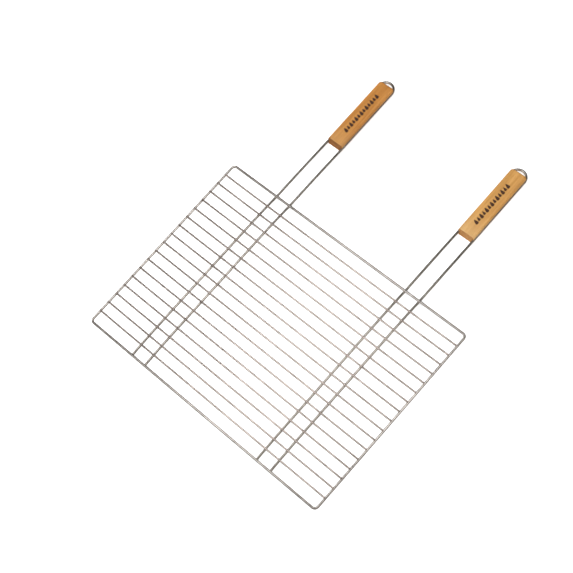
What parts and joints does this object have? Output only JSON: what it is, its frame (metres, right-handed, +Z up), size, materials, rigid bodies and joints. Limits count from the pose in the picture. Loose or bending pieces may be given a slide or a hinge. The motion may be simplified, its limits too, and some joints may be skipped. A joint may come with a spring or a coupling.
{
  "type": "handled grill grate",
  "caption": "Flat rectangular chromed-wire grill grate with parallel cross bars and two long U-shaped wire handles carrying wooden grips and hanging loops.",
  "frame": {"origin": "centre of the bounding box in X and Y, at the height of the grips' flat undersides", "axes": "+X along the grate's long side, from the left handle to the right one; +Y from the grate towards the grips; +Z up, out of the cooking surface"},
  "size_m": [0.5, 0.6147, 0.0166],
  "materials": {
    "frame_chrome": "bright plated wire, slightly drawn along its length",
    "bar_chrome": "bright plated thin wire",
    "handle_chrome": "bright plated wire with dark reflections",
    "left_wood": "satin-varnished light hardwood, orange-brown, grain along the grip, burnt-in decoration",
    "right_wood": "satin-varnished light hardwood, paler than the left grip, grain along the grip, burnt-in decoration"
  },
  "bodies": {
    "root": {"outer_frame": "frame_chrome", "bar_01": "bar_chrome", "bar_02": "bar_chrome", "bar_03": "bar_chrome", "bar_04": "bar_chrome", "bar_05": "bar_chrome", "bar_06": "bar_chrome", "bar_07": "bar_chrome", "bar_08": "bar_chrome", "bar_09": "bar_chrome", "bar_10": "bar_chrome", "bar_11": "bar_chrome", "bar_12": "bar_chrome", "bar_13": "bar_chrome", "bar_14": "bar_chrome", "bar_15": "bar_chrome", "bar_16": "bar_chrome", "bar_17": "bar_chrome", "left_handle_wire": "handle_chrome", "right_handle_wire": "handle_chrome", "left_grip": "left_wood", "right_grip": "right_wood"}
  },
  "joints": []
}
